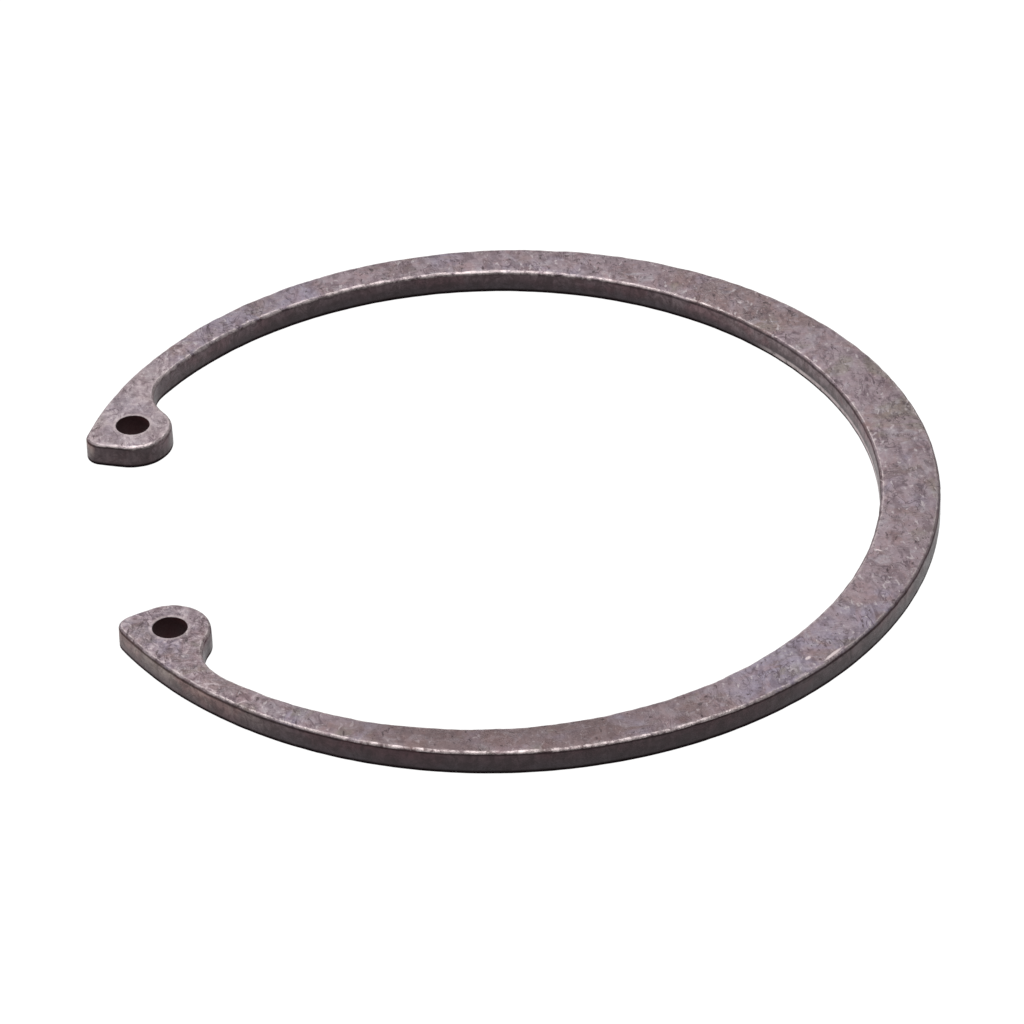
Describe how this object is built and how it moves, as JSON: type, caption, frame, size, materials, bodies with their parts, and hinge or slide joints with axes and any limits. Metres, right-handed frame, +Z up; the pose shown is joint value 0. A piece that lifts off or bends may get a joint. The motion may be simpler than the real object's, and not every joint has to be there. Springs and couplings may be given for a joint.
{
  "type": "circlip retaining ring",
  "caption": "Internal circlip: an open spring steel ring that tapers towards a pierced lug on each side of its gap and springs into a groove in a round bore to hold a bearing.",
  "frame": {"origin": "on the ring's axis, in the plane of its lower face", "axes": "+Z up along the ring's axis, -X through the middle of the gap, so that the lugs mirror each other across the XZ plane"},
  "size_m": [0.0637, 0.0662, 0.002],
  "materials": {
    "phosphated_steel": "spring steel with a dark, mottled phosphate skin, finely scratched and bright along the edges"
  },
  "bodies": {
    "root": {"retaining_ring": "phosphated_steel"}
  },
  "joints": []
}
